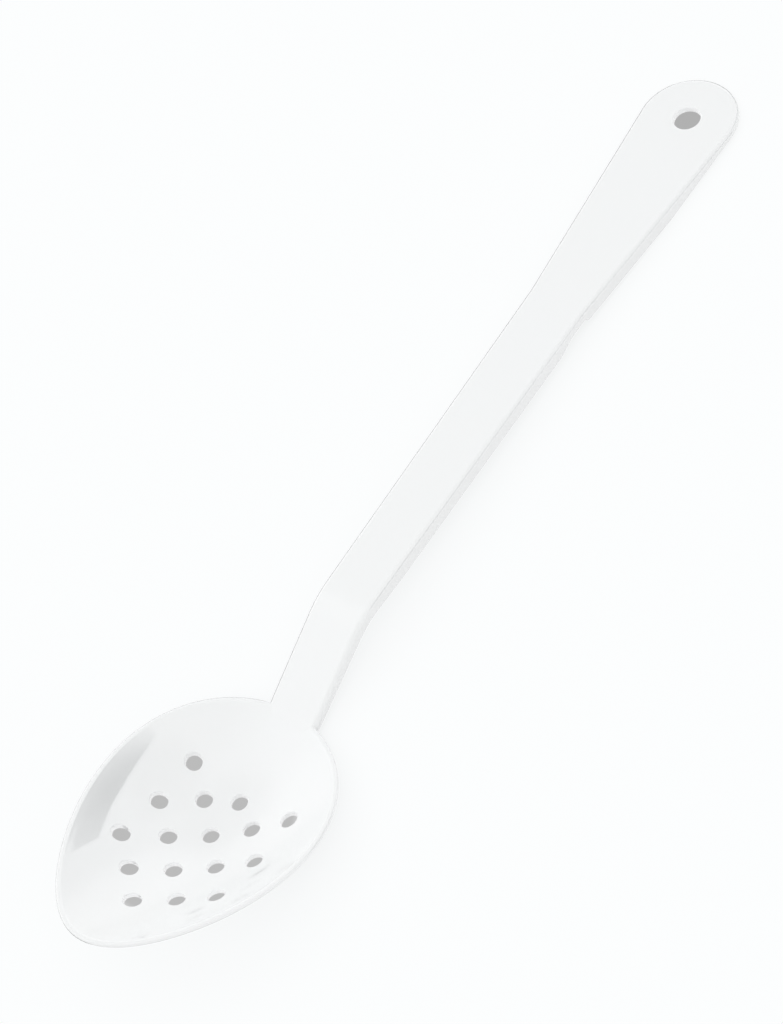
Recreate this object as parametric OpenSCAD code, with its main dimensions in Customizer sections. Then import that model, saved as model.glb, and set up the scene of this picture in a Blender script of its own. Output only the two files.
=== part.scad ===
// Perforated serving spoon, moulded in one piece of white plastic.
// A deep egg-shaped bowl with sixteen round drain holes, a neck that rises
// from the bowl's heel and bends back, and an inverted channel handle that
// flares to a round end with a hanging hole. A notch under the handle hooks
// on the edge of a pan. The spoon lies on its back, on the bowl and on the
// handle's end. X runs to the handle's end, Y is across and Z is up.

/* [Bowl] */
// Length of the bowl's opening, tip to heel
bowl_length = 89; // [80:1:102]
// Width of the opening at half its length
bowl_mid_width = 68.2; // [58:0.2:82]
// Depth of the bowl below its rim at half its length
bowl_depth = 13.6; // [9:0.1:18]
// Thickness of the bowl's wall
bowl_wall = 1.8; // [1.4:0.1:2.4]
// Width of the flat land round the rim
rim_land = 1.4; // [1.1:0.1:2.2]
// Height of the upright side of the rim
rim_side = 1.1; // [0.8:0.1:1.6]
// Bevel at the rim's outer edge
rim_bevel = 0.35; // [0.2:0.05:0.5]

/* [Drain holes] */
// Diameter of a drain hole
drain_d = 5.1; // [3.5:0.1:6]
// Distance between the holes of one column
drain_pitch = 15.5; // [13:0.1:17]
// Distance between neighbouring columns
column_gap = 9.4; // [8:0.1:10.5]
// Distance of the first hole's centre from the bowl's tip
drain_from_tip = 18.6; // [16:0.1:22]
// How much nearer the tip the two outer columns sit
outer_column_set = 1; // [0:0.1:2]
// How much nearer the tip the centre column's last hole sits
heel_hole_set = 2.6; // [0:0.1:3.5]

/* [Neck] */
// Slope of the neck's face against the rim
neck_slope = 39.8; // [34:0.1:46]
// Length of the neck's face, from the heel to the corner of the bend
neck_length = 35; // [28:0.1:44]
// Width of the neck
neck_width = 18; // [14:0.1:20]
// Radius of the bend on the face
bend_radius = 28; // [18:1:40]
// Depth of the side flanges where the neck leaves the bowl
heel_flange_depth = 3.2; // [2.8:0.1:4.2]

/* [Handle] */
// Slope of the handle's face against the rim
handle_slope = 16.5; // [12:0.1:20]
// Distance along the face from the corner of the bend to the hanging hole
handle_reach = 194.6; // [150:0.2:240]
// Width of the handle at the pan stop
stop_width = 20.8; // [18.6:0.1:23]
// Radius of the handle's round end
end_radius = 16.4; // [13.4:0.1:20]
// Diameter of the hanging hole
hang_hole_d = 8.7; // [6:0.1:11]
// Thickness of the handle's web
web_thickness = 2.2; // [1.8:0.1:2.6]
// Radius of the edges along the face
edge_radius = 1.4; // [0.8:0.1:1.7]
// Thickness of the side flanges
flange_thickness = 2; // [1.6:0.1:2.6]
// Depth of the side flanges below the face
flange_depth = 5.5; // [4.6:0.1:8]
// Radius of the flanges' lower edges
foot_radius = 0.6; // [0.3:0.1:0.7]
// Length over which the flanges grow from the round end
flange_rise = 32; // [20:1:45]

/* [Pan stop] */
// Distance of the stop from the hanging hole
stop_reach = 76; // [60:1:90]
// Depth of the flanges that the notch leaves
notch_depth = 3.5; // [3:0.1:4.2]
// Length of the stop's slanted face
stop_face = 1.8; // [1:0.1:3]
// Length of the notch's floor
notch_floor = 6; // [4:0.5:9]
// Length of the run-out from the notch to the full depth
notch_runout = 9; // [6:0.5:14]

/* [Hidden] */
spoon_colour = "whitesmoke";

// Widening of the bowl towards its heel, as a share of its width at half length
heel_swell_share = 0.206;
// Fullness of the bowl's two ends, as a share of the same width
end_fullness_share = -0.044;
// How much deeper the bowl is towards its heel, as a share of its depth
heel_depth_share = 0.233;
// How much flatter than a parabola the bowl's floor is, or steeper below zero
floor_flat_share = -0.06;
// Where the rim band starts, as a share of the way from the bowl's middle to its rim
band_share = 0.93;
// Facets of the bowl: round the rim, and from its middle to the rim band
around = 96;
rings = 11;
// The part of the bowl that the neck is cut to: facets each side, rings, and its inner end
heel_facets = around / 12;
heel_rings = 3;
heel_share = 0.7;
// Facets of the bend, of each rounded edge, of a flange's foot and of half the round end
bend_steps = 8;
edge_steps = 4;
foot_steps = 3;
end_steps = 14;
// Steps of the notch's run-out
runout_steps = 5;
// Length by which every cut runs past its faces
cut_over = 1;
// Length of the flanges and the web that runs down behind the heel
root_length = 4;
// Depth of the flanges and the web at the root's lower end
root_depth = 0.8;
// Smallest height of a flange, where it fades into the web
fade_height = 0.15;
hole_facets = 40;
settle_steps = 40;

half_length = bowl_length / 2;
reach_z = bowl_depth * 3;

// Half the bowl's width in the middle of its shape, at a share of its half length
function swell(u) = bowl_mid_width / 2 * (1 + heel_swell_share * u + end_fullness_share * u * u);
function swell_rise(u) = bowl_mid_width / 2 * (heel_swell_share + 2 * end_fullness_share * u);
// Height of the floor: u along the length, g the squared share of the way to the rim
function floor_shape(g) = 1 - (1 + floor_flat_share) * g + floor_flat_share * g * g;
function floor_z(u, g) = -bowl_depth * (1 + heel_depth_share * u) * floor_shape(g);
function inner_point(t, share) =
    let (u = share * cos(t))
    [half_length * u, swell(u) * share * sin(t), floor_z(u, share * share)];
// Slopes of g and of the floor along X and Y
function g_slope(u, y) = [
    (2 * u - 2 * y * y * swell_rise(u) / pow(swell(u), 3)) / half_length,
    2 * y / pow(swell(u), 2)
];
function floor_slope(u, y, g) =
    let (
        by_g = bowl_depth * (1 + heel_depth_share * u) * (1 + floor_flat_share - 2 * floor_flat_share * g),
        by_u = -bowl_depth * heel_depth_share * floor_shape(g) / half_length,
        s = g_slope(u, y)
    )
    [by_g * s.x + by_u, by_g * s.y];
// The wall's outside lies one wall thickness off the inside, square to it
function outer_point(t, share) =
    let (
        p = inner_point(t, share),
        s = floor_slope(share * cos(t), p.y, share * share),
        n = [-s.x, -s.y, 1]
    )
    p - bowl_wall * n / norm(n);
// A point of the rim, out from its inner edge and down from the land
function rim_point(t, out, down) =
    let (p = inner_point(t, 1), s = g_slope(cos(t), p.y))
    [p.x, p.y, 0] + out * [s.x, s.y, 0] / norm(s) - [0, 0, down];

turns = [for (i = [0 : around - 1]) 360 * i / around];
heel_turns = [for (i = [-heel_facets : heel_facets]) 360 * i / around];
floor_shares = [for (i = [1 : rings]) band_share * i / rings];
function inner_ring(share) = [for (t = turns) inner_point(t, share)];
function outer_ring(share) = [for (t = turns) outer_point(t, share)];
function rim_ring(out, down) = [for (t = turns) rim_point(t, out, down)];

// The drain holes: the centre column, then the pairs of columns beside it
first_hole_x = drain_from_tip - half_length;
centre_column = [
    for (i = [0 : 3])
        [first_hole_x + i * drain_pitch - (i == 3 ? heel_hole_set : 0), 0]
];
side_columns = [
    for (side = [-1, 1], i = [0 : 2])
        [first_hole_x + (i + 1 / 2) * drain_pitch, side * column_gap]
];
outer_columns = [
    for (side = [-1, 1], i = [1 : 3])
        [first_hole_x + i * drain_pitch - outer_column_set, side * 2 * column_gap]
];
drain_holes = concat(centre_column, side_columns, outer_columns);

// The handle's face runs up the neck, round the bend and along the handle.
// A place on it is its distance from the heel, measured along the face.
bend_angle = neck_slope - handle_slope;
bend_tangent = bend_radius * tan(bend_angle / 2);
bend_start = neck_length - bend_tangent;
bend_run = bend_radius * bend_angle * PI / 180;
bend_end = bend_start + bend_run;
eye = bend_end + handle_reach - bend_tangent;
stop = eye - stop_reach;
heel = [half_length, 0];
function ahead(slope) = [cos(slope), sin(slope)];
function above(slope) = [-sin(slope), cos(slope)];
function slope_at(s) =
    s < bend_start ? neck_slope :
    s > bend_end ? handle_slope :
    neck_slope - bend_angle * (s - bend_start) / bend_run;
bend_first = heel + bend_start * ahead(neck_slope);
bend_centre = bend_first - bend_radius * above(neck_slope);
bend_last = bend_centre + bend_radius * above(handle_slope);
function face_at(s) =
    s < bend_start ? heel + s * ahead(neck_slope) :
    s > bend_end ? bend_last + (s - bend_end) * ahead(handle_slope) :
    bend_centre + bend_radius * above(slope_at(s));
// A point of the handle: along the face, across it, and down from it
function handle_point(s, y, down) =
    let (p = face_at(s) - down * above(slope_at(s))) [p.x, y, p.y];

// Half the handle's width: even on the neck, a slow taper on the shank,
// and from the stop a straight flare that runs into the round end
stop_half = stop_width / 2;
flare = asin(end_radius / norm([stop_reach, stop_half])) - atan2(stop_half, stop_reach);
flare_end = eye - end_radius * sin(flare);
width_table = [
    [-root_length, neck_width / 2],
    [bend_end, neck_width / 2],
    [stop, stop_half],
    [flare_end, end_radius * cos(flare)]
];
// Depth of the web and of the flanges below the face
web_table = [[-root_length, root_depth], [0, web_thickness]];
flange_table = concat(
    [
        [-root_length, root_depth + fade_height],
        [0, heel_flange_depth],
        [bend_start, heel_flange_depth + (flange_depth - heel_flange_depth) / 2],
        [bend_end + bend_run, flange_depth]
    ],
    [
        for (i = [0 : runout_steps])
            let (share = i / runout_steps)
            [
                stop - stop_face - notch_floor - notch_runout * (1 - share),
                notch_depth + (flange_depth - notch_depth) * (1 + cos(180 * share)) / 2
            ]
    ],
    [
        [stop - stop_face, notch_depth],
        [stop, flange_depth],
        [flare_end - flange_rise, flange_depth],
        [flare_end, web_thickness + fade_height]
    ]
);

// Stations of the lofts, each list from the bowl's side to the handle's end
neck_stations = concat(
    [for (i = [0 : 2]) -root_length * (1 - i / 2)],
    [bend_start / 2],
    [for (i = [0 : bend_steps]) bend_start + bend_run * i / bend_steps]
);
shank_stations = [bend_end, bend_end + bend_run, stop];
grip_stations = [stop, flare_end - flange_rise, flare_end];
flange_stations = concat(
    neck_stations,
    [for (row = flange_table) if (row[0] > bend_end) row[0]]
);

// One edge of a web's section: how far in from the side, and how far down
edge_levels = [
    for (i = [0 : edge_steps])
        let (a = 90 * i / edge_steps)
        [edge_radius * (1 - sin(a)), edge_radius * (1 - cos(a))]
];
// A web's section, from its left lower corner over the face to the right one
function web_section(s) =
    let (half = lookup(s, width_table), deep = lookup(s, web_table), k = deep / web_thickness)
    concat(
        [handle_point(s, half, deep)],
        [for (i = [edge_steps : -1 : 0]) handle_point(s, half - edge_levels[i][0], edge_levels[i][1] * k)],
        [for (i = [0 : edge_steps]) handle_point(s, edge_levels[i][0] - half, edge_levels[i][1] * k)],
        [handle_point(s, -half, deep)]
    );
// The same section wrapped round the handle's end, at a turn from straight across
function end_point(turn, side, inset, down) =
    handle_point(
        eye + (end_radius - inset) * sin(turn),
        side * (end_radius - inset) * cos(turn),
        down
    );
function end_section(turn) =
    concat(
        [end_point(turn, 1, 0, web_thickness)],
        [for (i = [edge_steps : -1 : 0]) end_point(turn, 1, edge_levels[i][0], edge_levels[i][1])],
        [for (i = [0 : edge_steps]) end_point(turn, -1, edge_levels[i][0], edge_levels[i][1])],
        [end_point(turn, -1, 0, web_thickness)]
    );
// The last turn stops half a facet short, so the end closes with a flat facet
end_facet = (90 + flare) / (end_steps + 1 / 2);
end_turns = [for (i = [1 : end_steps]) -flare + end_facet * i];
last_turn = end_turns[end_steps - 1];

// A flange's section: its outside is flush with the web's side, and its foot is rounded
foot_levels = [for (i = [0 : foot_steps]) let (a = 90 * i / foot_steps) [1 - cos(a), 1 - sin(a)]];
function flange_section(s, side) =
    let (
        half = lookup(s, width_table),
        in = half - flange_thickness,
        top = lookup(s, web_table),
        deep = lookup(s, flange_table),
        foot = min(foot_radius, (deep - top) / 2)
    )
    concat(
        [handle_point(s, side * half, top)],
        [for (level = foot_levels) handle_point(s, side * (half - foot * level[0]), deep - foot * level[1])],
        [
            for (i = [foot_steps : -1 : 0])
                handle_point(s, side * (in + foot * foot_levels[i][0]), deep - foot * foot_levels[i][1])
        ],
        [handle_point(s, side * in, top)]
    );

// At rest the bowl and the handle's end are equally low
front_points = concat(
    [for (share = concat(floor_shares, [1]), t = [0, 180]) outer_point(t, share)],
    [for (s = flange_stations) if (s < bend_end) handle_point(s, 0, lookup(s, flange_table))]
);
end_low_point = end_point(last_turn, 1, 0, web_thickness);
function height_at(p, tilt) = p.z * cos(tilt) - p.x * sin(tilt);
function reach_at(p, tilt) = p.x * cos(tilt) + p.z * sin(tilt);
function front_low(tilt) = min([for (p = front_points) height_at(p, tilt)]);
function settle(low, high, steps) =
    let (middle = (low + high) / 2)
    steps == 0 ? middle :
    front_low(middle) > height_at(end_low_point, middle) ? settle(low, middle, steps - 1) :
    settle(middle, high, steps - 1);
rest_tilt = settle(0, 60, settle_steps);
rest_lift = -front_low(rest_tilt);
tip_reach = min([
    for (p = [outer_point(180, 1), rim_point(180, rim_land, rim_side), rim_point(180, rim_land, rim_bevel)])
        reach_at(p, rest_tilt)
]);
end_reach = max([
    for (level = concat(edge_levels, [[0, web_thickness]]))
        reach_at(end_point(last_turn, 1, level[0], level[1]), rest_tilt)
]);
rest_shift = -(tip_reach + end_reach) / 2;

// Turns a point or the whole spoon from the rim's frame to the frame at rest
function at_rest(p) =
    [reach_at(p, rest_tilt) + rest_shift, p.y, height_at(p, rest_tilt) + rest_lift];
module rest() {
    translate([rest_shift, 0, rest_lift])
        rotate([0, rest_tilt, 0])
            children();
}

// A closed skin over rings of points, from one pole to the other
module skin(first, loops, last) {
    n = len(loops[0]);
    m = len(loops);
    points = concat([first], [for (loop = loops) each loop], [last]);
    start = [for (i = [0 : n - 1]) [0, 1 + i, 1 + (i + 1) % n]];
    sides = [
        for (k = [0 : m - 2], i = [0 : n - 1])
            let (a = 1 + k * n + i, b = 1 + k * n + (i + 1) % n)
            each [[a, a + n, b + n], [a, b + n, b]]
    ];
    finish = [for (i = [0 : n - 1]) let (a = 1 + (m - 1) * n) [m * n + 1, a + (i + 1) % n, a + i]];
    polyhedron(points, concat(start, sides, finish));
}

// A loop of sections that closes on itself, such as a rim
module closed_loft(sections) {
    n = len(sections[0]);
    m = len(sections);
    sides = [
        for (k = [0 : m - 1], i = [0 : n - 1])
            let (a = k * n + i, b = k * n + (i + 1) % n, c = ((k + 1) % m) * n)
            each [[a, c + (i + 1) % n, b], [a, c + i, c + (i + 1) % n]]
    ];
    polyhedron([for (section = sections) each section], sides);
}

// A loft through sections with an even number of points and a cap at each end
module loft(sections, flip = false) {
    n = len(sections[0]);
    m = len(sections);
    last = (m - 1) * n;
    sides = [
        for (k = [0 : m - 2], i = [0 : n - 1])
            let (a = k * n + i, b = k * n + (i + 1) % n)
            [a, a + n, b + n, b]
    ];
    caps = [
        for (k = [0 : n / 2 - 2])
            each [
                [k, k + 1, n - 2 - k, n - 1 - k],
                [last + n - 1 - k, last + n - 2 - k, last + k + 1, last + k]
            ]
    ];
    faces = concat(sides, caps);
    turned = [for (face = faces) [for (i = [len(face) - 1 : -1 : 0]) face[i]]];
    polyhedron([for (section = sections) each section], flip ? turned : faces);
}

// What the bowl and its rim fill at the heel, with the hollow closed at the rim:
// the neck and the flanges are cut to it, so they seat on the wall's own facets
module heel_block() {
    shares = [for (i = [rings - heel_rings : rings - 1]) floor_shares[i]];
    outside = len(shares) + 4;
    sections = [
        for (t = heel_turns)
            concat(
                [for (share = shares) outer_point(t, share)],
                [outer_point(t, 1), rim_point(t, rim_land, rim_side), rim_point(t, rim_land, rim_bevel)],
                [rim_point(t, rim_land - rim_bevel, 0)],
                [
                    for (i = [0 : outside - 1])
                        let (p = inner_point(t, 1 - (1 - heel_share) * i / (outside - 1)))
                        [p.x, p.y, 0]
                ]
            )
    ];
    loft(sections, flip = true);
}

module bowl() {
    color(spoon_colour)
        rest()
            difference() {
                skin(
                    outer_point(0, 0),
                    concat(
                        [for (share = floor_shares) outer_ring(share)],
                        [for (i = [rings - 1 : -1 : 0]) inner_ring(floor_shares[i])]
                    ),
                    inner_point(0, 0)
                );
                for (hole = drain_holes)
                    translate([hole.x, hole.y, -reach_z])
                        cylinder(d = drain_d, h = reach_z, $fn = hole_facets);
            }
}

module bowl_rim() {
    color(spoon_colour)
        rest()
            closed_loft([
                for (t = turns)
                    [
                        inner_point(t, band_share),
                        inner_point(t, 1),
                        rim_point(t, rim_land - rim_bevel, 0),
                        rim_point(t, rim_land, rim_bevel),
                        rim_point(t, rim_land, rim_side),
                        outer_point(t, 1),
                        outer_point(t, band_share)
                    ]
            ]);
}

module neck_web() {
    color(spoon_colour)
        rest()
            difference() {
                loft([for (s = neck_stations) web_section(s)]);
                heel_block();
            }
}

module shank_web() {
    color(spoon_colour)
        rest()
            loft([for (s = shank_stations) web_section(s)]);
}

module grip_web() {
    eye_point = face_at(eye);
    color(spoon_colour)
        rest()
            difference() {
                loft(concat(
                    [for (s = grip_stations) web_section(s)],
                    [for (turn = end_turns) end_section(turn)]
                ));
                translate([eye_point.x, 0, eye_point.y])
                    rotate([0, -handle_slope, 0])
                        translate([0, 0, -web_thickness - cut_over])
                            cylinder(d = hang_hole_d, h = web_thickness + 2 * cut_over, $fn = hole_facets);
            }
}

module flange(side) {
    color(spoon_colour)
        rest()
            difference() {
                loft([for (s = flange_stations) flange_section(s, side)], flip = side > 0);
                heel_block();
            }
}

module left_flange() {
    flange(1);
}

module right_flange() {
    flange(-1);
}

bowl();
bowl_rim();
neck_web();
shank_web();
grip_web();
left_flange();
right_flange();
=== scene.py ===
import math
from math import cos, pi, radians, sin, tan

import bmesh
import bpy
from mathutils import Euler, Matrix, Vector


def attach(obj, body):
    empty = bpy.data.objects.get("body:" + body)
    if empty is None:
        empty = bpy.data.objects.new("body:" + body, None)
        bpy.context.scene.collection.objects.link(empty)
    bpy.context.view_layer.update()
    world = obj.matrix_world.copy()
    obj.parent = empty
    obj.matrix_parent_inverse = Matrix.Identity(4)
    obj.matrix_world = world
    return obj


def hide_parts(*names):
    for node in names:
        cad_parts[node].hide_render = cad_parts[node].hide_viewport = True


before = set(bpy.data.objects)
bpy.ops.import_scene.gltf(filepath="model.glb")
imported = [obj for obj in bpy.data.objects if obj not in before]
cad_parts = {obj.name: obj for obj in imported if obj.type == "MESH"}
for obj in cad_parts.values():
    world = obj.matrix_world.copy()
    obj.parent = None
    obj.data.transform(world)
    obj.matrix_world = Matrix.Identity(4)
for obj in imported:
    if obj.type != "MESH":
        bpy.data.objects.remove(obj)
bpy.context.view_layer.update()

# Sizes are in millimetres, measured from the rim of the bowl: x runs to the handle, z is up
mm = 0.001

# How the spoon lies at rest: the rim's slope, and the place of the bowl's middle
restPose = {"tilt": 20.4374, "shift": -120.852, "lift": 20.6211}


def atRest(p):
    a = radians(restPose["tilt"])
    return Vector((
        p[0] * cos(a) + p[2] * sin(a) + restPose["shift"],
        p[1],
        p[2] * cos(a) - p[0] * sin(a) + restPose["lift"],
    )) * mm


def deselectAll():
    if bpy.context.object and bpy.context.object.mode != "OBJECT":
        bpy.ops.object.mode_set(mode="OBJECT")
    bpy.ops.object.select_all(action="DESELECT")


def choose(*objects):
    deselectAll()
    for o in objects:
        o.select_set(True)
    bpy.context.view_layer.objects.active = objects[0]


def applyModifiers(obj):
    choose(obj)
    for m in list(obj.modifiers):
        bpy.ops.object.modifier_apply(modifier=m.name)


def lookup(x, rows):
    if x <= rows[0][0]:
        return rows[0][1]
    for (a, u), (b, v) in zip(rows, rows[1:]):
        if x <= b:
            return u + (v - u) * (x - a) / (b - a)
    return rows[-1][1]


mergeDistance = 0.002 * mm


def loftRings(name, rings):
    # One ring is drawn as a filled circle, then extruded through the others
    deselectAll()
    bpy.ops.mesh.primitive_circle_add(vertices=len(rings[0]), radius=mm, fill_type="NGON")
    obj = bpy.context.object
    obj.name = obj.data.name = name
    bpy.ops.object.mode_set(mode="EDIT")
    bm = bmesh.from_edit_mesh(obj.data)
    place = bm.verts.layers.int.new("place")
    bm.verts.ensure_lookup_table()
    for i, v in enumerate(bm.verts):
        v[place] = i
        v.co = rings[0][i]
    bpy.ops.mesh.select_all(action="SELECT")
    for ring in rings[1:]:
        bpy.ops.mesh.extrude_region_move()
        bm = bmesh.from_edit_mesh(obj.data)
        place = bm.verts.layers.int["place"]
        for v in bm.verts:
            if v.select:
                v.co = ring[v[place]]
    bpy.ops.mesh.select_all(action="SELECT")
    bpy.ops.mesh.remove_doubles(threshold=mergeDistance)
    bpy.ops.mesh.normals_make_consistent(inside=False)
    bpy.ops.object.mode_set(mode="OBJECT")
    obj.data.attributes.remove(obj.data.attributes["place"])
    return obj


def ease(k):
    k = max(0, min(1, k))
    return k * k * (3 - 2 * k)


def arc(steps, start=0, end=90):
    # Sine and cosine of evenly spaced turns
    turns = [radians(start + (end - start) * i / steps) for i in range(steps + 1)]
    return [(sin(a), cos(a)) for a in turns]


def roundedCorner(start, corner, end, steps):
    shares = [i / steps for i in range(steps + 1)]
    return [start * (1 - k) ** 2 + corner * 2 * k * (1 - k) + end * k * k for k in shares]


# The bowl: its half width, floor and slopes, as in the part
bowl = {
    "length": 89,
    "midWidth": 68.2,
    "heelSwell": 0.206,
    "endFullness": -0.044,
    "depth": 13.6,
    "heelDepth": 0.233,
    "floorFlat": -0.06,
    "wall": 1.8,
    "squareFrom": 0.62,  # share of the way at which the outside starts to turn square to the wall
    "squareOver": 0.3,
    "around": 144,
    "rings": 36,
    "rimLand": 1.39,
    "rimSide": 1.1,
    "lipRound": 0.45,
    "edgeRound": 0.6,
    "sideRound": 0.25,
    "underShare": 0.25,  # how far under the wall the side's lower edge runs out
    "roundSteps": 4,
    "heelSoft": 0.55,  # how softly the wall runs into the neck's face
    "heelFrom": 8,
    "heelOver": 4,
    "heelSpare": 0.2,
    "heelBlend": 0.6,
    "heelHide": 0.015,  # how far the wall dips under the neck's face, and where
    "hideFrom": 3.2,
    "hideOver": 1.2,
    "innerEdgeTo": 0.9,  # an open edge that lies no deeper than this is the inner one
    "outerFrom": 0.99,  # share of the slab past which a side face is its outer wall
}

halfLength = bowl["length"] / 2
halfWidth = bowl["midWidth"] / 2


def swell(u):
    return halfWidth * (1 + bowl["heelSwell"] * u + bowl["endFullness"] * u * u)


def reachShare(x, y):
    # Squared share of the way from the bowl's middle to its rim
    u = x / halfLength
    return u * u + (y / swell(u)) ** 2


def floorHeight(x, y):
    g = reachShare(x, y)
    k = bowl["floorFlat"]
    return -bowl["depth"] * (1 + bowl["heelDepth"] * x / halfLength) * (1 - (1 + k) * g + k * g * g)


def outwardSlope(x, y):
    u = x / halfLength
    rise = halfWidth * (bowl["heelSwell"] + 2 * bowl["endFullness"] * u)
    return ((2 * u - 2 * y * y * rise / swell(u) ** 3) / halfLength, 2 * y / swell(u) ** 2)


def wallNormal(x, y):
    u, g, k = x / halfLength, reachShare(x, y), bowl["floorFlat"]
    sx, sy = outwardSlope(x, y)
    byG = bowl["depth"] * (1 + bowl["heelDepth"] * u) * (1 + k - 2 * k * g)
    byU = -bowl["depth"] * bowl["heelDepth"] * (1 - (1 + k) * g + k * g * g) / halfLength
    return Vector((-byG * sx - byU, -byG * sy, 1)).normalized()


def insidePoint(x, y):
    return Vector((x, y, floorHeight(x, y)))


def outsidePoint(x, y):
    # Below the holes the outside keeps the same place in plan, so their walls are upright;
    # towards the rim it is set off square to the wall
    upright = 1 - ease((reachShare(x, y) - bowl["squareFrom"]) / bowl["squareOver"])
    px, py = x, y
    for _ in range(10):
        n = wallNormal(px, py)
        px = x + upright * bowl["wall"] * n.x
        py = y + upright * bowl["wall"] * n.y
    return insidePoint(px, py) - bowl["wall"] * wallNormal(px, py)


def rimPoint(turn, out, down):
    x, y = halfLength * cos(turn), swell(cos(turn)) * sin(turn)
    sx, sy = outwardSlope(x, y)
    n = math.hypot(sx, sy)
    return Vector((x + out * sx / n, y + out * sy / n, -down))


def neckHeight(x):
    return (x - halfLength) * tan(radians(handle["neckSlope"]))


def heelWeight(y):
    # Full across the neck's face, and none past its sides
    side = handle["neckWidth"] / 2 + bowl["heelSpare"]
    return ease((side - abs(y)) / (handle["edgeRound"] + bowl["heelBlend"]))


def heelHeight(x, y):
    # The bowl's wall runs into the neck's face without a line
    soft = bowl["heelSoft"]
    wall, face = floorHeight(x, y), neckHeight(x)
    return (wall - math.hypot(wall, 2 * soft) + face + math.hypot(face, 2 * soft)) / 2


def atHeel(p, hide=0):
    # A point of the bowl's or the neck's upper skin, drawn to the run-out between them
    past = p.x - halfLength + bowl["heelFrom"]
    if past < 0 or abs(p.y) > handle["neckWidth"] / 2 + bowl["heelSpare"]:
        return p
    share = heelWeight(p.y) * ease(past / bowl["heelOver"])
    rise = share * (heelHeight(p.x, p.y) - p.z)
    return Vector((p.x, p.y, p.z + rise - hide * bowl["heelHide"]))


# The drain holes
drains = {
    "diameter": 5.1,
    "pitch": 15.5,
    "columnGap": 9.4,
    "fromTip": 18.6,
    "outerSet": 1,
    "heelSet": 2.6,
    "facets": 48,
    "edgeRound": 0.28,
    "edgeSteps": 4,
    "slab": 1.9,
}

wallLimit = 0.5  # a face that turns further from a hole's axis than this is its wall


def drainPlaces():
    first = drains["fromTip"] - halfLength
    pitch, gap = drains["pitch"], drains["columnGap"]
    middle = [(first + i * pitch, 0) for i in range(3)]
    middle.append((first + 3 * pitch - drains["heelSet"], 0))
    inner = [(first + (i + 0.5) * pitch, s * gap) for s in (-1, 1) for i in range(3)]
    outer = [
        (first + i * pitch - drains["outerSet"], 2 * s * gap)
        for s in (-1, 1) for i in (1, 2, 3)
    ]
    return middle + inner + outer


def drillTool(name, radius, low, high, rounding, steps, facets):
    # A pin that flares at both faces, so the hole it cuts has rounded edges
    flareTurn, spare = 84, 1
    rows = [(radius + rounding, low - spare)]
    for s, c in arc(steps, flareTurn, 0):
        rows.append((radius + rounding * (1 - c), low + rounding * (1 - s)))
    for s, c in arc(steps, 0, flareTurn):
        rows.append((radius + rounding * (1 - c), high - rounding * (1 - s)))
    rows.append((radius + rounding, high + spare))
    turns = [2 * pi * i / facets for i in range(facets)]
    rings = [[Vector((r * cos(a), r * sin(a), z)) * mm for a in turns] for r, z in rows]
    return loftRings(name, rings)


def cutWith(obj, tool):
    cut = obj.modifiers.new("cut", "BOOLEAN")
    cut.operation = "DIFFERENCE"
    cut.solver = "EXACT"
    cut.object = tool
    applyModifiers(obj)
    bpy.data.objects.remove(tool, do_unlink=True)


def turnAt(v):
    # Where a vertex stands round the bowl's outline
    x, y = v.co.x / mm, v.co.y / mm
    return math.atan2(y / swell(x / halfLength), x / halfLength)


def rimRing(t, inner):
    # The rim's profile, from the inside over the land and the side to the outside
    steps, land, side, edge = bowl["roundSteps"], bowl["rimLand"], bowl["rimSide"], bowl["edgeRound"]
    x, y = halfLength * cos(t) * inner, swell(inner * cos(t)) * inner * sin(t)
    lip = roundedCorner(insidePoint(x, y), rimPoint(t, 0, 0), rimPoint(t, bowl["lipRound"], 0), steps)
    ring = [atHeel(p, 1) for p in lip[1:]]
    for s, c in arc(steps):
        ring.append(atHeel(rimPoint(t, land - edge * (1 - s), edge * (1 - c)), 1))
    under = rimPoint(t, land, side)
    fromSide = rimPoint(t, land, side - bowl["sideRound"])
    runOut = under.lerp(outsidePoint(x, y), bowl["underShare"])
    return ring + roundedCorner(fromSide, under, runOut, steps)


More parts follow.
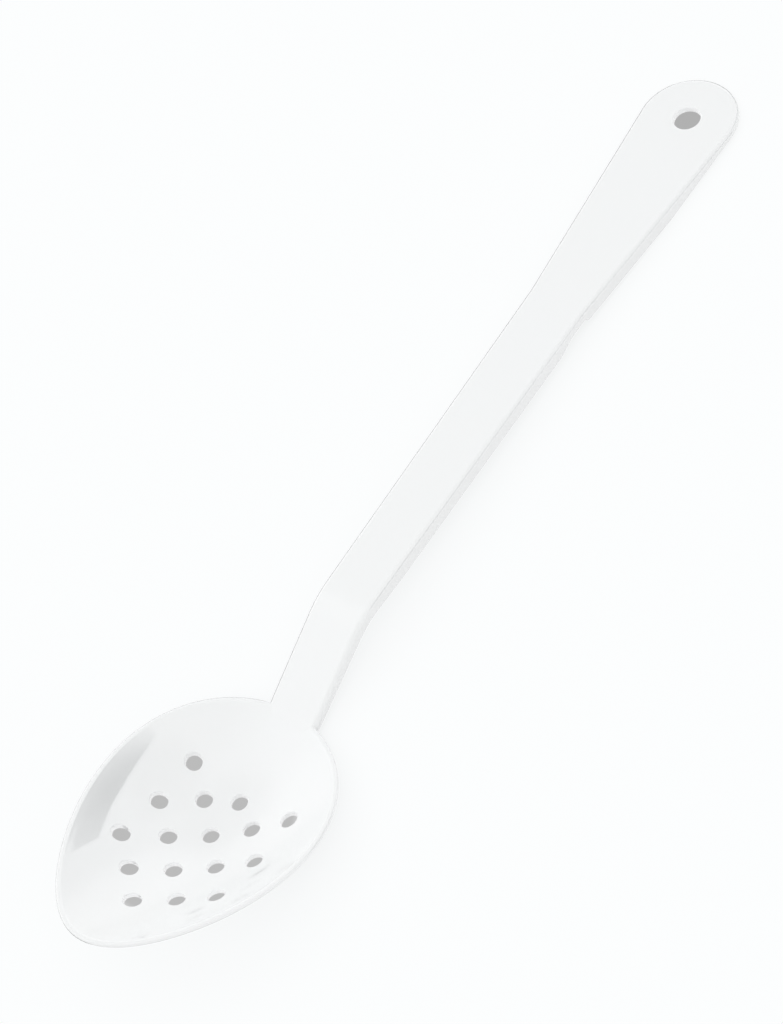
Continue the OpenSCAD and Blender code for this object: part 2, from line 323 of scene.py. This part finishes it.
def makeBowl():
    around, rings, slab = bowl["around"], bowl["rings"], drains["slab"]
    inner = 1 - bowl["lipRound"] / halfLength

    # A flat slab with the bowl's outline, in rings that later follow its curve
    deselectAll()
    bpy.ops.mesh.primitive_circle_add(vertices=around, radius=1, fill_type="TRIFAN")
    obj = bpy.context.object
    obj.name = obj.data.name = "bowlShell"
    bpy.ops.object.mode_set(mode="EDIT")
    bpy.ops.mesh.select_all(action="SELECT")
    bm = bmesh.from_edit_mesh(obj.data)
    spokes = [e for e in bm.edges if not e.is_boundary]
    bmesh.ops.subdivide_edges(bm, edges=spokes, cuts=rings - 1, use_grid_fill=True)
    for v in bm.verts:
        t, share = math.atan2(v.co.y, v.co.x), v.co.xy.length * inner
        u = share * cos(t)
        v.co = Vector((halfLength * u, swell(u) * share * sin(t), slab)) * mm
    bmesh.update_edit_mesh(obj.data)
    bpy.ops.mesh.select_all(action="SELECT")
    bpy.ops.mesh.extrude_region_move(TRANSFORM_OT_translate={"value": (0, 0, -slab * mm)})
    bpy.ops.mesh.select_all(action="SELECT")
    bpy.ops.mesh.normals_make_consistent(inside=False)
    bpy.ops.object.mode_set(mode="OBJECT")

    # The drain holes, drilled by one flared pin and its copies
    pin = drillTool(
        "drainPin", drains["diameter"] / 2, 0, slab,
        drains["edgeRound"], drains["edgeSteps"], drains["facets"],
    )
    pins = []
    for x, y in drainPlaces():
        copy = pin.copy()
        copy.data = pin.data.copy()
        bpy.context.scene.collection.objects.link(copy)
        copy.data.transform(Matrix.Translation(Vector((x, y, 0)) * mm))
        pins.append(copy)
    bpy.data.objects.remove(pin, do_unlink=True)
    choose(*pins)
    bpy.ops.object.join()
    cutWith(obj, bpy.context.object)

    # The slab's outer wall opens for the rim, and the walls of its holes are marked for painted
    # light: a lighter white that stands in for light bleeding through them
    bm = bmesh.new()
    bm.from_mesh(obj.data)
    nearEdge = (inner * bowl["outerFrom"]) ** 2
    sides = [f for f in bm.faces if abs(f.normal.z) < wallLimit]
    outer = [f for f in sides if reachShare(*(f.calc_center_median().xy / mm)) > nearEdge]
    bmesh.ops.delete(bm, geom=outer, context="FACES_ONLY")
    paintedWallLight = bm.faces.layers.float.new("paintedWallLight")
    for f in bm.faces:
        f[paintedWallLight] = 1 if abs(f.normal.z) < wallLimit else 0

    # The slab bends into the bowl
    for v in bm.verts:
        x, y, share = v.co.x / mm, v.co.y / mm, v.co.z / mm / slab
        hide = ease((x - halfLength + bowl["hideFrom"]) / bowl["hideOver"])
        v.co = outsidePoint(x, y).lerp(atHeel(insidePoint(x, y), hide), share) * mm

    # The rim, ring by ring from the inner edge to the outer one
    edges = [v for v in bm.verts if v.is_boundary]
    topLoop = sorted([v for v in edges if v.co.z > -bowl["innerEdgeTo"] * mm], key=turnAt)
    lowLoop = sorted(
        [v for v in edges if v.co.z <= -bowl["innerEdgeTo"] * mm],
        key=lambda v: math.atan2(v.co.y, v.co.x),
    )
    profiles = [rimRing(turnAt(v), inner) for v in topLoop]
    previous = topLoop
    for k in range(len(profiles[0]) + 1):
        last = k == len(profiles[0])
        ring = lowLoop if last else [bm.verts.new(profile[k] * mm) for profile in profiles]
        for i in range(len(ring)):
            j = (i + 1) % len(ring)
            bm.faces.new((previous[i], ring[i], ring[j], previous[j]))
        previous = ring
    bmesh.ops.recalc_face_normals(bm, faces=bm.faces)
    for v in bm.verts:
        v.co = atRest(v.co / mm)
    bm.to_mesh(obj.data)
    bm.free()
    return obj


# The handle: the line of its face, its widths and depths, as in the part
handle = {
    "neckSlope": 39.8,
    "neckLength": 35,
    "neckWidth": 18,
    "bendRadius": 28,
    "slope": 16.5,
    "reach": 194.6,
    "stopWidth": 20.8,
    "endRadius": 16.37,
    "eye": 8.7,
    "web": 2.2,
    "edgeRound": 1.4,
    "edgeSteps": 8,
    "flange": 2,
    "flangeDepth": 5.5,
    "heelDepth": 3.2,
    "footRound": 0.55,
    "footSteps": 4,
    "cornerRound": 0.8,
    "flangeRise": 32,
    "faceSteps": 8,
    "underShares": (0.7, 0.35, 0),
    "rootLength": 4,
    "rootDepth": 0.8,
    "fadeHeight": 0.15,
    "stopReach": 76,
    "notchDepth": 3.5,
    "stopFace": 1.8,
    "notchFloor": 6,
    "notchRunout": 9,
    "notchSteps": 12,
    "endSteps": 32,
    "eyeRound": 0.4,
    "eyeSteps": 5,
    "eyeFacets": 64,
    "heelRun": 16,  # how far up the neck its run-out into the bowl reaches
    "heelFade": 6,
    "skinDepth": 1.26,  # what lies no deeper under the face than this is its upper skin
    "hideFrom": 1.4,
    "hideOver": 1.2,
}

bendAngle = handle["neckSlope"] - handle["slope"]
bendTangent = handle["bendRadius"] * tan(radians(bendAngle / 2))
bendStart = handle["neckLength"] - bendTangent
bendRun = handle["bendRadius"] * radians(bendAngle)
bendEnd = bendStart + bendRun
eyeAt = bendEnd + handle["reach"] - bendTangent
stopAt = eyeAt - handle["stopReach"]
stopHalf = handle["stopWidth"] / 2
flareReach = math.hypot(handle["stopReach"], stopHalf)
flare = math.asin(handle["endRadius"] / flareReach) - math.atan2(stopHalf, handle["stopReach"])
flareEnd = eyeAt - handle["endRadius"] * sin(flare)
widths = [
    (-handle["rootLength"], handle["neckWidth"] / 2),
    (bendEnd, handle["neckWidth"] / 2),
    (stopAt, stopHalf),
    (flareEnd, handle["endRadius"] * cos(flare)),
]
webs = [(-handle["rootLength"], handle["rootDepth"]), (0, handle["web"])]
notchFrom = stopAt - handle["stopFace"] - handle["notchFloor"] - handle["notchRunout"]
flanges = [
    (-handle["rootLength"], handle["rootDepth"] + handle["fadeHeight"]),
    (0, handle["heelDepth"]),
    (bendStart, (handle["heelDepth"] + handle["flangeDepth"]) / 2),
    (bendEnd + bendRun, handle["flangeDepth"]),
]
for i in range(handle["notchSteps"] + 1):
    share = i / handle["notchSteps"]
    drop = (handle["flangeDepth"] - handle["notchDepth"]) * (1 + cos(pi * share)) / 2
    flanges.append((notchFrom + handle["notchRunout"] * share, handle["notchDepth"] + drop))
flanges += [
    (stopAt - handle["stopFace"], handle["notchDepth"]),
    (stopAt, handle["flangeDepth"]),
    (flareEnd - handle["flangeRise"], handle["flangeDepth"]),
    (flareEnd, handle["web"] + handle["fadeHeight"]),
]


def slopeAt(s):
    if s < bendStart:
        return radians(handle["neckSlope"])
    if s > bendEnd:
        return radians(handle["slope"])
    return radians(handle["neckSlope"] - bendAngle * (s - bendStart) / bendRun)


def faceAt(s):
    neck, end = radians(handle["neckSlope"]), radians(handle["slope"])
    if s < bendStart:
        return halfLength + s * cos(neck), s * sin(neck)
    x, z = halfLength + bendStart * cos(neck), bendStart * sin(neck)
    cx, cz = x + handle["bendRadius"] * sin(neck), z - handle["bendRadius"] * cos(neck)
    a = slopeAt(s)
    x, z = cx - handle["bendRadius"] * sin(a), cz + handle["bendRadius"] * cos(a)
    past = max(0, s - bendEnd)
    return x + past * cos(end), z + past * sin(end)


def handlePoint(s, y, down):
    x, z = faceAt(s)
    a = slopeAt(s)
    return Vector((x + down * sin(a), y, z - down * cos(a)))


def neckPoint(s, y, down):
    # The neck's upper skin, which starts just under the bowl's wall
    p = handlePoint(s, y, down)
    if s > handle["heelRun"] or down > handle["skinDepth"]:
        return p
    rise = heelHeight(p.x, y) - neckHeight(p.x)
    fade = ease((handle["heelRun"] - s) / handle["heelFade"])
    hide = ease((halfLength - handle["hideFrom"] - p.x) / handle["hideOver"])
    return Vector((p.x, y, p.z + heelWeight(y) * rise * fade - hide * bowl["heelHide"]))


def halfSection(half, web, deep):
    # Points from the middle of the face round one side to the middle of the underside,
    # each with its distance across and its depth below the face
    top, steps, wall = handle["edgeRound"], handle["footSteps"], handle["flange"]
    topDown = top * web / handle["web"]
    foot, drop = min(handle["footRound"], deep / 3), max(deep - web, 0)
    inFoot, corner = min(handle["footRound"], drop / 2), min(handle["cornerRound"], drop / 2)
    points = [(k / handle["faceSteps"] * (half - top), 0) for k in range(handle["faceSteps"])]
    points += [(half - top * (1 - s), topDown * (1 - c)) for s, c in arc(handle["edgeSteps"])]
    points += [(half - foot * (1 - c), deep - foot * (1 - s)) for s, c in arc(steps)]
    points += [(half - wall + inFoot * (1 - s), deep - inFoot * (1 - c)) for s, c in arc(steps)]
    points += [(half - wall - corner * (1 - c), web + corner * (1 - s)) for s, c in arc(steps)]
    points += [(k * (half - wall - handle["cornerRound"]), web) for k in handle["underShares"]]
    return points


def stations():
    # Where the cross sections stand along the face: each stretch's end and its steps
    stretches = [
        (0, 10),
        (6, 12),
        (bendStart, 10),
        (bendEnd, 24),
        (bendEnd + bendRun, 5),
        (notchFrom, 14),
        (notchFrom + handle["notchRunout"], handle["notchSteps"]),
        (stopAt - handle["stopFace"], 6),
        (stopAt, 4),
        (flareEnd - handle["flangeRise"], 10),
        (flareEnd, 16),
    ]
    rows = [-handle["rootLength"]]
    for end, count in stretches:
        start = rows[-1]
        rows += [start + (end - start) * (i + 1) / count for i in range(count)]
    return rows


def makeHandle():
    sections = []
    for s in stations():
        side = halfSection(lookup(s, widths), lookup(s, webs), lookup(s, flanges))
        right = [neckPoint(s, y, down) for y, down in side]
        left = [neckPoint(s, -y, down) for y, down in side[1:-1]]
        sections.append(right + left[::-1])

    # Round the end its edge follows the circle, and what lies further in keeps its share
    radius, web, steps = handle["endRadius"], handle["web"], handle["endSteps"]
    for i in range(1, steps + 1):
        turn = -flare + (pi / 2 + flare) * i / steps
        right, left = [], []
        for y, down in halfSection(radius, web, web + handle["fadeHeight"] * (1 - i / steps)):
            deep = down >= handle["edgeRound"]
            edge = handle["flange"] + handle["cornerRound"] if deep else handle["edgeRound"]
            reach = radius - min(radius - y, edge)
            s, out = eyeAt + reach * sin(turn), reach * cos(turn) * y / reach
            right.append(handlePoint(s, out, down))
            left.append(handlePoint(s, -out, down))
        sections.append(right + left[1:-1][::-1])
    obj = loftRings("handleShell", [[p * mm for p in section] for section in sections])

    # The hanging hole
    tool = drillTool(
        "eyePin", handle["eye"] / 2, -web, 0,
        handle["eyeRound"], handle["eyeSteps"], handle["eyeFacets"],
    )
    slope = radians(handle["slope"])
    x, z = faceAt(eyeAt)
    eyeMiddle, axis = Vector((x, 0, z)), Vector((-sin(slope), 0, cos(slope)))
    turned = Matrix.Rotation(-slope, 4, "Y")
    tool.data.transform(Matrix.Translation(eyeMiddle * mm) @ turned)
    cutWith(obj, tool)
    # The walls of the hanging hole are marked for the same painted light, a lighter white on them
    paintedWallLight = obj.data.attributes.new("paintedWallLight", "FLOAT", "FACE")
    for face in obj.data.polygons:
        fromEye = face.center / mm - eyeMiddle
        off = (fromEye - axis * fromEye.dot(axis)).length
        isWall = abs(face.normal.dot(axis)) < wallLimit
        if isWall and off < handle["eye"] / 2 + handle["eyeRound"]:
            paintedWallLight.data[face.index].value = 1
    for v in obj.data.vertices:
        v.co = atRest(v.co / mm)
    return obj


print("bowl")
bowlShell = makeBowl()
print("handle")
handleShell = makeHandle()


# Sharper edges than this stay sharp, and broad faces lead the shading
finish = {"smoothAngle": 38, "faceWeight": 60}


def finishPiece(obj):
    choose(obj)
    bpy.ops.object.shade_smooth_by_angle(angle=radians(finish["smoothAngle"]))
    weight = obj.modifiers.new("weights", "WEIGHTED_NORMAL")
    weight.mode = "FACE_AREA"
    weight.weight = finish["faceWeight"]
    weight.keep_sharp = True
    applyModifiers(obj)


for obj in (bowlShell, handleShell):
    finishPiece(obj)
    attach(obj, "root")
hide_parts("bowl", "bowl_rim")
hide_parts("neck_web", "shank_web", "grip_web", "left_flange", "right_flange")


# Material
plasticLook = {
    "colour": (0.848, 0.863, 0.872),
    "shade": (0.842, 0.856, 0.854),
    # painted light: the lighter white on the walls of the holes
    "paintedWallLight": (0.97, 0.98, 0.985),
    "patchScale": 28,
    "roughness": (0.07, 0.11),
    "glossScale": 90,
    "glossSpread": (0.3, 0.7),
    "grainScale": 420,
    "grainDepth": 0.004 * mm,
    "sinkScale": 45,
    "sinkDepth": 0.03 * mm,
    "ior": 1.84,
    "specular": 1.0,
    "coat": 1.0,
    "coatRoughness": 0.02,
    "coatIor": 1.84,
}


def addNode(tree, kind, **values):
    node = tree.nodes.new(kind)
    for name, value in values.items():
        if hasattr(node, name):
            setattr(node, name, value)
        else:
            node.inputs[name].default_value = value
    return node


def noiseAt(tree, spot, scale, detail):
    noise = addNode(tree, "ShaderNodeTexNoise", Scale=scale, Detail=detail)
    tree.links.new(spot, noise.inputs["Vector"])
    return noise.outputs["Fac"]


def whitePlastic():
    # Moulded gloss: slow clouds in the white and the gloss, faint sink and a fine grain in the
    # skin, and painted light on the walls of the holes: a lighter white standing in for light
    # bleeding through them
    look = plasticLook
    mat = bpy.data.materials.new("whitePlastic")
    mat.use_nodes = True
    tree = mat.node_tree
    link = tree.links.new
    shader = tree.nodes["Principled BSDF"]
    spot = addNode(tree, "ShaderNodeTexCoord").outputs["Object"]

    tint = addNode(tree, "ShaderNodeMix", data_type="RGBA")
    tint.inputs[6].default_value = (*look["shade"], 1)
    tint.inputs[7].default_value = (*look["colour"], 1)
    link(noiseAt(tree, spot, look["patchScale"], 3), tint.inputs["Factor"])
    # Painted light: the walls of the holes turn a lighter white, in place of light bleeding through
    # them
    paintedWallLight = addNode(tree, "ShaderNodeAttribute", attribute_name="paintedWallLight")
    lit = addNode(tree, "ShaderNodeMix", data_type="RGBA")
    lit.inputs[7].default_value = (*look["paintedWallLight"], 1)
    link(paintedWallLight.outputs["Fac"], lit.inputs["Factor"])
    link(tint.outputs[2], lit.inputs[6])
    link(lit.outputs[2], shader.inputs["Base Color"])

    gloss = addNode(tree, "ShaderNodeMapRange")
    for ends, values in (("From", look["glossSpread"]), ("To", look["roughness"])):
        gloss.inputs[ends + " Min"].default_value, gloss.inputs[ends + " Max"].default_value = values
    link(noiseAt(tree, spot, look["glossScale"], 4), gloss.inputs["Value"])
    link(gloss.outputs[0], shader.inputs["Roughness"])

    sink = addNode(tree, "ShaderNodeBump", Distance=look["sinkDepth"])
    link(noiseAt(tree, spot, look["sinkScale"], 1), sink.inputs["Height"])
    grain = addNode(tree, "ShaderNodeBump", Distance=look["grainDepth"])
    link(noiseAt(tree, spot, look["grainScale"], 2), grain.inputs["Height"])
    link(sink.outputs[0], grain.inputs["Normal"])
    link(grain.outputs[0], shader.inputs["Normal"])
    link(grain.outputs[0], shader.inputs["Coat Normal"])

    shader.inputs["IOR"].default_value = look["ior"]
    shader.inputs["Specular IOR Level"].default_value = look["specular"]
    shader.inputs["Coat Weight"].default_value = look["coat"]
    shader.inputs["Coat Roughness"].default_value = look["coatRoughness"]
    shader.inputs["Coat IOR"].default_value = look["coatIor"]
    return mat


print("material")
plastic = whitePlastic()
for obj in (bowlShell, handleShell):
    obj.data.materials.clear()
    obj.data.materials.append(plastic)

# Floor, light and camera
studio = {
    "floorSize": 6,
    "ambient": 0.71,  # the world for the plain light, and for the gloss
    "glossy": 0.9,
    "paper": 0.82,  # the floor for the plain light
    "shadeReach": 0.06,
    "shadeSamples": 16,
    "shadeTones": ((0.1, 0.86), (0.5, 0.95), (0.9, 0.99)),
    "floorTint": (0.985, 0.997, 1),
    "brightSide": 0.92,  # the floor for the gloss, and where its dark side starts
    "darkSide": 0.06,
    "sideFrom": 0.011,
    "sideTo": 0.017,
    "endFrom": 0.165,
    "endTo": 0.167,
    "darkReach": (0.075, 0.1),  # reflections longer than this find it bright again
    "bowlMiddle": (-0.1213, 0),
    "bowlRadii": (0.044, 0.0375),
    "bowlEdge": (0.96, 1.04),
}

# Soft shade on the floor under the spoon: place, turn, radii, grey, and where in its radii
# it is full and where it ends
floorShades = [
    {
        "place": (-0.1213, 0.0075), "turn": -35.6, "radii": (0.031, 0.0245),
        "grey": 0.5, "full": 0.95, "none": 1.14,
    },
    {
        "place": (0.1493, 0.0014), "turn": 0, "radii": (0.0075, 0.0075),
        "grey": 0.44, "full": 0.9, "none": 1.25,
    },
]

# Soft darker and brighter clouds in what the gloss reflects: direction, spread and depth
softClouds = [
    {"azimuth": -25, "elevation": 55, "inside": 13, "outside": 24, "depth": 0.08},
    {"azimuth": 48, "elevation": 50, "inside": 8, "outside": 30, "depth": 0.13},
    {"azimuth": 25, "elevation": 14, "inside": 8, "outside": 26, "depth": -0.13},
]

# The softboxes: where each stands, as an azimuth and an elevation, and its power
lamps = [
    {"name": "rightSoftbox", "azimuth": -90, "elevation": 55, "power": 4.5},
    {"name": "handleSoftbox", "azimuth": -30, "elevation": 25, "power": 4.1},
    {"name": "leftSoftbox", "azimuth": 90, "elevation": 25, "power": 8.8},
    {"name": "bowlSoftbox", "azimuth": 150, "elevation": 55, "power": 4.2},
]
lampSize = 1.2
lampDistance = 1.65


def direction(azimuth, elevation):
    a, e = radians(azimuth), radians(elevation)
    return Vector((cos(a) * cos(e), sin(a) * cos(e), sin(e)))


def smoothRange(tree, value, low, high, fromValue, toValue):
    ramp = addNode(tree, "ShaderNodeMapRange", interpolation_type="SMOOTHSTEP")
    names = ("From Min", "From Max", "To Min", "To Max")
    for name, number in zip(names, (low, high, fromValue, toValue)):
        ramp.inputs[name].default_value = number
    tree.links.new(value, ramp.inputs["Value"])
    return ramp.outputs[0]


def fromCentre(tree, spot, place, turn, radii):
    # How far a spot lies from an ellipse's middle, 1 on its line
    centred = addNode(tree, "ShaderNodeMapping", vector_type="TEXTURE")
    centred.inputs["Location"].default_value = (*place, 0)
    centred.inputs["Rotation"].default_value = (0, 0, radians(turn))
    centred.inputs["Scale"].default_value = (*radii, 1)
    away = addNode(tree, "ShaderNodeVectorMath", operation="LENGTH")
    tree.links.new(spot, centred.inputs["Vector"])
    tree.links.new(centred.outputs[0], away.inputs[0])
    return away.outputs["Value"]


def largerOf(tree, a, b):
    larger = addNode(tree, "ShaderNodeMath", operation="MAXIMUM")
    tree.links.new(a, larger.inputs[0])
    tree.links.new(b, larger.inputs[1])
    return larger.outputs[0]


def shownFloor(tree, spot):
    # White, with a soft shade where the spoon lies close and the darker patches under it
    cover = addNode(tree, "ShaderNodeAmbientOcclusion", samples=studio["shadeSamples"])
    cover.inputs["Distance"].default_value = studio["shadeReach"]
    ramp = addNode(tree, "ShaderNodeValToRGB")
    ramp.color_ramp.elements.new(0.5)
    for element, (place, tone) in zip(ramp.color_ramp.elements, studio["shadeTones"]):
        element.position = place
        element.color = (*[tone * c for c in studio["floorTint"]], 1)
    tree.links.new(cover.outputs["AO"], ramp.inputs["Fac"])
    shown = ramp.outputs["Color"]
    for shade in floorShades:
        away = fromCentre(tree, spot, shade["place"], shade["turn"], shade["radii"])
        mixed = addNode(tree, "ShaderNodeMix", data_type="RGBA")
        mixed.inputs[6].default_value = (shade["grey"],) * 3 + (1,)
        fade = smoothRange(tree, away, shade["full"], shade["none"], 0, 1)
        tree.links.new(fade, mixed.inputs["Factor"])
        tree.links.new(shown, mixed.inputs[7])
        shown = mixed.outputs[2]
    return shown


def reflectedFloor(tree, spot, path):
    # Dark on the spoon's left and past its end, for the edges, and bright on its right,
    # further off and under the bowl
    across = addNode(tree, "ShaderNodeSeparateXYZ")
    tree.links.new(spot, across.inputs[0])
    side = addNode(tree, "ShaderNodeMapRange")
    side.inputs["To Min"].default_value = studio["brightSide"]
    side.inputs["To Max"].default_value = studio["darkSide"]
    left = smoothRange(tree, across.outputs["Y"], studio["sideFrom"], studio["sideTo"], 0, 1)
    pastEnd = smoothRange(tree, across.outputs["X"], studio["endFrom"], studio["endTo"], 0, 1)
    tree.links.new(largerOf(tree, left, pastEnd), side.inputs["Value"])
    away = fromCentre(tree, spot, studio["bowlMiddle"], 0, studio["bowlRadii"])
    far = smoothRange(tree, path.outputs["Ray Length"], *studio["darkReach"], 0, 1)
    under = smoothRange(tree, away, *studio["bowlEdge"], 1, 0)
    near = addNode(tree, "ShaderNodeMix", data_type="FLOAT")
    near.inputs["B"].default_value = studio["brightSide"]
    tree.links.new(largerOf(tree, far, under), near.inputs["Factor"])
    tree.links.new(side.outputs[0], near.inputs["A"])
    return near.outputs["Result"]


def paleFloor():
    # What the camera sees, what reflections see, and pale paper for the rest of the light
    mat = bpy.data.materials.new("paleFloor")
    mat.use_nodes = True
    tree = mat.node_tree
    link = tree.links.new
    tree.nodes.clear()
    out = addNode(tree, "ShaderNodeOutputMaterial")
    spot = addNode(tree, "ShaderNodeTexCoord").outputs["Object"]
    path = addNode(tree, "ShaderNodeLightPath")
    paper = addNode(tree, "ShaderNodeBsdfDiffuse")
    paper.inputs["Color"].default_value = (studio["paper"],) * 3 + (1,)
    whiteGlow = addNode(tree, "ShaderNodeEmission")
    link(shownFloor(tree, spot), whiteGlow.inputs["Color"])
    sideGlow = addNode(tree, "ShaderNodeEmission")
    link(reflectedFloor(tree, spot, path), sideGlow.inputs["Strength"])
    reflected = addNode(tree, "ShaderNodeMixShader")
    link(path.outputs["Is Glossy Ray"], reflected.inputs["Fac"])
    link(paper.outputs[0], reflected.inputs[1])
    link(sideGlow.outputs[0], reflected.inputs[2])
    seen = addNode(tree, "ShaderNodeMixShader")
    link(path.outputs["Is Camera Ray"], seen.inputs["Fac"])
    link(reflected.outputs[0], seen.inputs[1])
    link(whiteGlow.outputs[0], seen.inputs[2])
    link(seen.outputs[0], out.inputs["Surface"])
    return mat


def softWorld():
    # White to the camera, a little less to the gloss, with the soft clouds in it, and plain
    # for the rest of the light
    world = bpy.data.worlds.new("studio")
    world.use_nodes = True
    tree = world.node_tree
    back = tree.nodes["Background"]
    back.inputs["Color"].default_value = (1, 1, 1, 1)
    path = addNode(tree, "ShaderNodeLightPath")
    spot = addNode(tree, "ShaderNodeTexCoord").outputs["Generated"]
    gloss = addNode(tree, "ShaderNodeMath", operation="SUBTRACT")
    gloss.inputs[0].default_value = studio["glossy"]
    for cloud in softClouds:
        towards = addNode(tree, "ShaderNodeVectorMath", operation="DOT_PRODUCT")
        towards.inputs[1].default_value = direction(cloud["azimuth"], cloud["elevation"])
        tree.links.new(spot, towards.inputs[0])
        edges = [cos(radians(cloud[edge])) for edge in ("outside", "inside")]
        depth = smoothRange(tree, towards.outputs["Value"], *edges, 0, cloud["depth"])
        tree.links.new(depth, gloss.inputs[1])
        if cloud is not softClouds[-1]:
            after = addNode(tree, "ShaderNodeMath", operation="SUBTRACT")
            tree.links.new(gloss.outputs[0], after.inputs[0])
            gloss = after
    glossy = addNode(tree, "ShaderNodeMix", data_type="FLOAT")
    glossy.inputs["A"].default_value = studio["ambient"]
    seen = addNode(tree, "ShaderNodeMix", data_type="FLOAT")
    seen.inputs["B"].default_value = 1
    tree.links.new(gloss.outputs[0], glossy.inputs["B"])
    tree.links.new(path.outputs["Is Glossy Ray"], glossy.inputs["Factor"])
    tree.links.new(path.outputs["Is Camera Ray"], seen.inputs["Factor"])
    tree.links.new(glossy.outputs["Result"], seen.inputs["A"])
    tree.links.new(seen.outputs["Result"], back.inputs["Strength"])
    return world


def addLamp(look):
    light = bpy.data.lights.new(look["name"], "AREA")
    light.shape = "DISK"
    light.size = lampSize
    light.energy = look["power"]
    obj = bpy.data.objects.new(look["name"], light)
    bpy.context.scene.collection.objects.link(obj)
    obj.location = lampDistance * direction(look["azimuth"], look["elevation"])
    obj.rotation_euler = (-obj.location).to_track_quat("-Z", "Y").to_euler()
    obj.visible_glossy = False
    return obj


def glowMaterial(name):
    mat = bpy.data.materials.new(name)
    mat.use_nodes = True
    tree = mat.node_tree
    tree.nodes.clear()
    out = addNode(tree, "ShaderNodeOutputMaterial")
    glow = addNode(tree, "ShaderNodeEmission")
    tones = addNode(tree, "ShaderNodeAttribute", attribute_name="tone")
    tree.links.new(tones.outputs["Fac"], glow.inputs["Strength"])
    tree.links.new(glow.outputs[0], out.inputs["Surface"])
    return mat


def addCard(name, strip):
    # A card that only reflections show, between pairs of corners, each a place and its tone
    mesh = bpy.data.meshes.new(name)
    bm = bmesh.new()
    tone = bm.verts.layers.float.new("tone")
    pairs = []
    for ends in strip:
        pair = [bm.verts.new(place) for place, level in ends]
        for v, (place, level) in zip(pair, ends):
            v[tone] = level
        pairs.append(pair)
    for a, b in zip(pairs, pairs[1:]):
        bm.faces.new((a[0], b[0], b[1], a[1]))
    bm.to_mesh(mesh)
    bm.free()
    obj = bpy.data.objects.new(name, mesh)
    bpy.context.scene.collection.objects.link(obj)
    obj.visible_camera = obj.visible_diffuse = obj.visible_shadow = obj.visible_transmission = False
    mesh.materials.append(glowMaterial(name))
    return obj


print("studio")
deselectAll()
bpy.ops.mesh.primitive_plane_add(size=studio["floorSize"], location=(0, 0, 0))
floor = bpy.context.object
floor.name = "floor"
floor.data.materials.append(paleFloor())
bpy.context.scene.world = softWorld()
for look in lamps:
    addLamp(look)

# The dark card that the bowl reflects: azimuth, low and high elevation, and the tone at each
bowlCard = {
    "centre": (-0.125, 0.029, 0.017),
    "distance": 3,
    "rows": [
        (-61, 44.5, 49.5, 0.8, 0.7),
        (-55, 39, 47, 0.7, 0.5),
        (-49, 33.8, 43.6, 0.5, 0.25),
        (-43, 28, 39.5, 0.3, 0.05),
        (-37, 22.3, 35, 0.2, 0),
        (-31, 17.5, 30.5, 0.2, 0),
        (-25, 13.6, 25.8, 0.3, 0.1),
        (-19, 11.6, 22.4, 0.4, 0.3),
        (-14, 10.8, 20, 0.5, 0.4),
    ],
}
strip = []
for azimuth, low, high, lowTone, highTone in bowlCard["rows"]:
    ends = [
        Vector(bowlCard["centre"]) + bowlCard["distance"] * direction(azimuth, elevation)
        for elevation in (low, high)
    ]
    strip.append(list(zip(ends, (lowTone, highTone))))
addCard("bowlCard", strip)

# The dark card beside the handle, which its rounded edges reflect: its two ends and heights
edgeCard = {"from": (0, -0.24), "to": (0.3, -0.24), "low": -0.009, "high": 0.06, "tone": 0}
strip = [
    [((*edgeCard[end], edgeCard[level]), edgeCard["tone"]) for level in ("low", "high")]
    for end in ("from", "to")
]
addCard("rightEdgeCard", strip)

camera = bpy.data.objects.new("camera", bpy.data.cameras.new("camera"))
bpy.context.scene.collection.objects.link(camera)
camera.data.lens = 70.3125
camera.data.sensor_width = 36
camera.location = (-0.13872, -0.29878, 0.50924)
camera.rotation_euler = Euler([radians(a) for a in (27.7377, 19.6332, -55.0929)])
bpy.context.scene.camera = camera

bpy.context.scene.view_settings.view_transform = "Standard"
